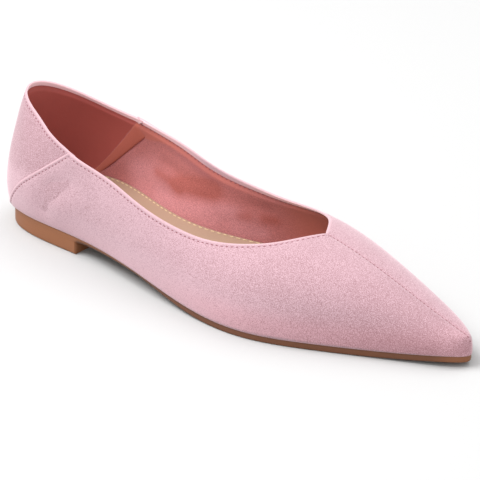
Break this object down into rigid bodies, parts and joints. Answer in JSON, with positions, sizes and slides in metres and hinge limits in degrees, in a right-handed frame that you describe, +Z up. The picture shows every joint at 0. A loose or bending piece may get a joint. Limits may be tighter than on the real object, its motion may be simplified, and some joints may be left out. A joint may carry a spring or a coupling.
{
  "type": "ballet flat",
  "caption": "Pointed ballet flat for the right foot in pink faux suede, with a V throat, stitched collar, seamed back panel and a low block heel, to be worn or displayed",
  "frame": {"origin": "middle of the shoe's box, on the floor that it stands on", "axes": "+X from the heel to the toe, +Y to the wearer's left, which is the inner side of this right shoe, +Z up"},
  "size_m": [0.2662, 0.079, 0.0645],
  "materials": {
    "suede": "brushed faux suede",
    "insole_lining": "smooth matte",
    "sole_rubber": "matte",
    "heel_block": "satin"
  },
  "bodies": {
    "root": {"upper": "suede", "insole": "insole_lining", "outsole": "sole_rubber", "heel": "heel_block"}
  },
  "joints": []
}
